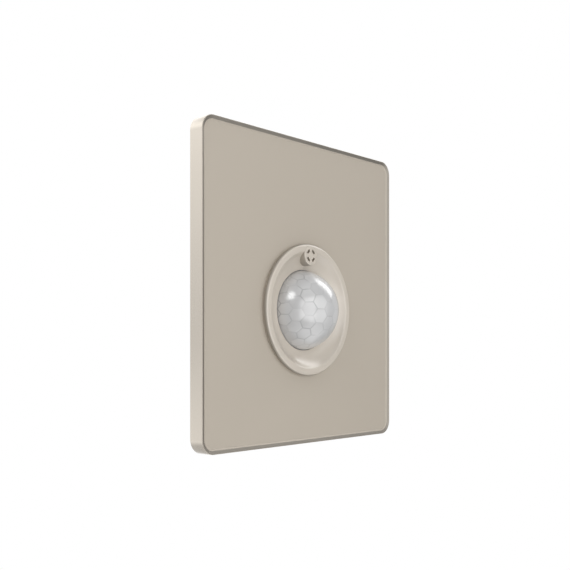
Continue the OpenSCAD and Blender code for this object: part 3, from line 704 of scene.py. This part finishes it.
hook = [(neck_in + clip_inset, tray_back + clip_root), (neck_in + clip_inset, clip_out - clip_h),
        (neck_r - clip_inset, clip_out - clip_h), (neck_r + clip_reach, clip_out - clip_edge),
        (neck_r + clip_reach, clip_out), (neck_r - clip_inset, clip_out),
        (neck_r - clip_inset, tray_back + clip_root)]
for degrees in (30, 150, 270):
    turn_profile(shape, hook, 8, math.radians(degrees - clip_half), math.radians(2 * clip_half))

port_r, post_r, post_t, post_round, post_lift, post_root = 0.0161, 0.0029, 0.0005, 0.00022, 0.0001, 0.0003
channel_r, tube_t, tube_lift, hollow_lift, shelf_lift = 0.0010, 0.0007, 0.0002, 0.00015, 0.0002
port_z = sensor_z + port_r
port_steps = 72


def port_ring(shape, reach, out, limit):
    """A ring of points round the sound port, held within a distance of the sensor axis."""
    ring = []
    for a in (2 * math.pi * i / port_steps for i in range(port_steps)):
        x, z = reach * math.cos(a), port_r + reach * math.sin(a)
        draw = min(1.0, limit / math.hypot(x, z))
        ring.append(shape.verts.new(stand(x * draw, sensor_z + z * draw, out)))
    return ring


inside = neck_r - seat_gap
tube_out = skirt_out + tube_lift
tube = [(channel_r, tube_out), (channel_r + tube_t, tube_out), (channel_r + tube_t, dish_out),
        (channel_r, dish_out)]
join_rings(shape, [port_ring(shape, reach, out, inside) for reach, out in tube])
hollow_out = -face_y + hollow_lift
for point in shape.verts:
    if -point.co.y > hollow_out and math.hypot(point.co.x, point.co.z - port_z) < post_r - post_t:
        point.co.y = -hollow_out
post_out = rim_out + post_lift
shelf_out = -face_y + shelf_lift
wall = [(post_r, dish_out - post_root, inside), (post_r, shelf_out, inside), (post_r, shelf_out, bezel_r),
        (post_r, post_out - post_round, bezel_r)]
wall += [(post_r - post_round + post_round * math.cos(a), post_out - post_round + post_round * math.sin(a),
          bezel_r) for a in (math.pi / 2 * t for t in arc(5)[1:])]
loops = [port_ring(shape, *level) for level in wall]
join_rings(shape, loops, closed=False)
shape.faces.new(loops[0])


def ring_edges(shape, ring):
    return [shape.edges.get((ring[i], ring[(i + 1) % len(ring)])) for i in range(len(ring))]


top_edges = ring_edges(shape, loops[-1])
slot_r, slot_half, slot_d, slot_sweep = 0.00162, 0.000375, 0.0009, math.radians(50)
for k in range(4):
    middle = math.pi / 2 * (k + 0.5)
    rim = [(slot_r + slot_half, middle + slot_sweep * (t - 0.5)) for t in arc(8)]
    rim += [(slot_r - slot_half, middle - slot_sweep * (t - 0.5)) for t in arc(8)]
    levels = [[shape.verts.new(stand(r * math.cos(a), port_z + r * math.sin(a), out)) for r, a in rim]
              for out in (post_out, post_out - slot_d)]
    join_rings(shape, levels, [1], closed=False)
    shape.faces.new(levels[1]).material_index = 1
    top_edges += ring_edges(shape, levels[0])
bmesh.ops.triangle_fill(shape, use_beauty=True, use_dissolve=False, edges=top_edges, normal=(0, -1, 0))

moulding = finish("satin_bezel_beige")
mottle = moulding.clouds(0.012, 2)
grain = moulding.clouds(0.00015, 2)
tone = moulding.blend(0.6 * mottle + 0.4 * grain, paint(199, 190, 177), paint(203, 194, 182))
across, inward, up = moulding.axes()
# The outer wall of the rim and the wall of the post are painted darker: painted shade.
wall_shade_from, wall_shade_to = bezel_r - 0.0004, bezel_r - 0.0001
rim_wall_shade = moulding.fade(from_axis(moulding, across, up - sensor_z), wall_shade_from, wall_shade_to)
post_wall_shade = abs(from_axis(moulding, across, up - port_z) - post_r) < skin / 2
painted_wall_shade = rim_wall_shade + 0.5 * post_wall_shade
tone = moulding.blend(painted_wall_shade, tone, paint(146, 138, 126))
gloss = 0.3 + 0.05 * grain + 0.2 * painted_wall_shade
satin_moulding = surface(moulding, {"Base Color": tone, "Roughness": gloss, "IOR": 1.95},
                         grain, depth=0.000004)
# The walls and floors of the slots are painted darker than the moulding: painted shade down the channel.
hollow = finish("channel_shade")
channel_mottle = hollow.clouds(0.0004, 3)
tone = hollow.blend(channel_mottle, paint(166, 157, 144), paint(178, 169, 156))
channel_shade = surface(hollow, {"Base Color": tone, "Roughness": 0.8 + 0.1 * channel_mottle}, channel_mottle, depth=0.00001)
make_piece("round_bezel", shape, [satin_moulding, channel_shade],
           "cover", "bezel_beige", "sensor_bezel", crease=32)

# The lens: a milky polyethylene dome, smooth and glossy outside.
# Inside it is moulded as flat six-sided facets that all face the sensor, and they show through it,
# more faintly on its right, where they are painted fainter as painted light. Its flange sits behind the
# mouth of the dish.
facet_pitch, facet_rings, facet_seed, lens_steps = 0.0042, 3, 4.3, 144
weld, back_tilt, dome_margin, facet_snap, line_from, line_to = 1e-6, -0.9, 0.02, 0.25, 0.43, 0.49
dome_r = (lens_r ** 2 + lens_h ** 2) / (2 * lens_h)
dome_out = dish_out + lens_h - dome_r
flange_r = lens_r + flange_w
flange_out = seat_out - flange_t
facet_step = facet_pitch / dome_r
widest = math.acos((dish_out - dome_out) / dome_r)
shape = bmesh.new()
tip = shape.verts.new(stand(0, sensor_z, dome_out + dome_r))
profile = [(dome_r * math.sin(a), dome_out + dome_r * math.cos(a))
           for a in (widest * t for t in arc(48)[1:])]
profile += [(lens_r, seat_out), (flange_r, seat_out), (flange_r, flange_out), (lens_r - lens_t, flange_out)]
loops = sensor_rings(shape, profile, [2 * math.pi * i / lens_steps for i in range(lens_steps)])
for i in range(lens_steps):
    shape.faces.new((tip, loops[0][i], loops[0][(i + 1) % lens_steps]))
join_rings(shape, loops, closed=False)

inner = bmesh.new()
inner_r, inner_top = lens_r - lens_t, dish_out + lens_h
bmesh.ops.create_cone(inner, cap_ends=True, segments=lens_steps, radius1=inner_r, radius2=inner_r,
                      depth=inner_top - flange_out,
                      matrix=Matrix.Translation((0, 0, (inner_top + flange_out) / 2)))
for i in range(-facet_rings, facet_rings + 1):
    for j in range(-facet_rings, facet_rings + 1):
        if abs(i + j) > facet_rings:
            continue
        u, v = i * math.cos(math.pi / 6) * facet_step, (i * 0.5 + j) * facet_step
        tilt, around = math.hypot(u, v), math.atan2(v, u)
        facing = Vector((math.sin(tilt) * math.cos(around), math.sin(tilt) * math.sin(around),
                         math.cos(tilt)))
        cut = bmesh.ops.bisect_plane(inner, geom=inner.verts[:] + inner.edges[:] + inner.faces[:],
                                     plane_co=facing * (dome_r - lens_t) + Vector((0, 0, dome_out)),
                                     plane_no=facing, clear_outer=True, dist=1e-9)
        border = [e for e in cut["geom_cut"] if isinstance(e, bmesh.types.BMEdge)]
        if len(border) > 2:
            bmesh.ops.contextual_create(inner, geom=border)
for face in inner.faces[:]:
    if face.normal.z < back_tilt:
        inner.faces.remove(face)
known = {v: shape.verts.new(stand(v.co.x, sensor_z + v.co.y, v.co.z)) for v in inner.verts}
for face in inner.faces:
    shape.faces.new([known[v] for v in reversed(face.verts)])
inner.free()
bmesh.ops.remove_doubles(shape, verts=shape.verts, dist=weld)

milk = finish("milky_polyethylene")


def vector(operation, *values, out=0):
    """A Vector Math node of the lens."""
    return milk.add("ShaderNodeVectorMath", {"operation": operation}, values, out=out)


right, inward, up = milk.split(
    vector("NORMALIZE", vector("SUBTRACT", milk.place(), tuple(stand(0, sensor_z, dome_out)))))
lean = milk.add("ShaderNodeMath", {"operation": "ARCCOSINE"}, [-1 * inward])
side = milk.add("ShaderNodeMath", {"operation": "SQRT"}, [right * right + up * up + 1e-9])
sheet = milk.add("ShaderNodeCombineXYZ", (),
                 [lean * right / side / facet_step, lean * up / side / facet_step, 0.0])
half_x, half_y = 3 ** 0.5 / 2, 0.5


def to_facet(x, y):
    """The way from the middle of a facet, in one of the two grids that make up the honeycomb."""
    moved = vector("ADD", sheet, (x + 20 * half_x, y + 40 * half_y, 0))
    wrapped = vector("WRAP", moved, (half_x, half_y, 1), (-half_x, -half_y, -1))
    return wrapped, vector("LENGTH", wrapped, out=1)


one, one_off = to_facet(0, 0)
two, two_off = to_facet(half_x, half_y)
within = milk.add("ShaderNodeMix", {"data_type": "VECTOR"}, {0: two_off < one_off, 4: one, 5: two}, out=1)
along, rise, _ = milk.split(within)
border = milk.add("ShaderNodeMath", {"operation": "MAXIMUM"},
                  [abs(rise), abs(along) * half_x + abs(rise) * half_y])
on_dome = lean < widest + dome_margin
line = milk.fade(border, line_from, line_to) * on_dome
middle = vector("ADD", vector("SUBTRACT", sheet, within), (0.1, 0.1, 0))
middle = vector("ADD", vector("SNAP", middle, (facet_snap, facet_snap, 1)), (0, 0, facet_seed))
facet = milk.add("ShaderNodeTexWhiteNoise", {"noise_dimensions": "3D"}, [middle], out=0)
cloud = milk.clouds(0.005, 2)
# The dome is painted lighter in the middle and darker towards its edge: painted shade.
tone = milk.blend(0.45 * facet + 0.2 * cloud + 0.5 * (1 - lean / widest),
                  paint(177, 177, 178), paint(208, 208, 208))
uneven = milk.ramp(milk.clouds(0.006, 2), (0.38, 0.15), (0.62, 1))
# The facet lines are painted fainter towards the right of the dome, as painted light washing them out.
light_washed_lines = milk.fade(right, -0.45, 0.2, first=1.0, last=0.3)
tone = milk.blend(0.44 * line * uneven * light_washed_lines, tone, paint(96, 96, 98))
milky = surface(milk, {"Base Color": tone, "Roughness": 0.3 + 0.05 * cloud, "IOR": 1.35,
                       "Coat Weight": 1.0, "Coat Roughness": 0.23, "Coat IOR": 2.0},
                0.5 * facet - line, depth=0.00002)
make_piece("domed_lens", shape, [milky], "cover", "milky_lens", "fresnel_lens", crease=24)
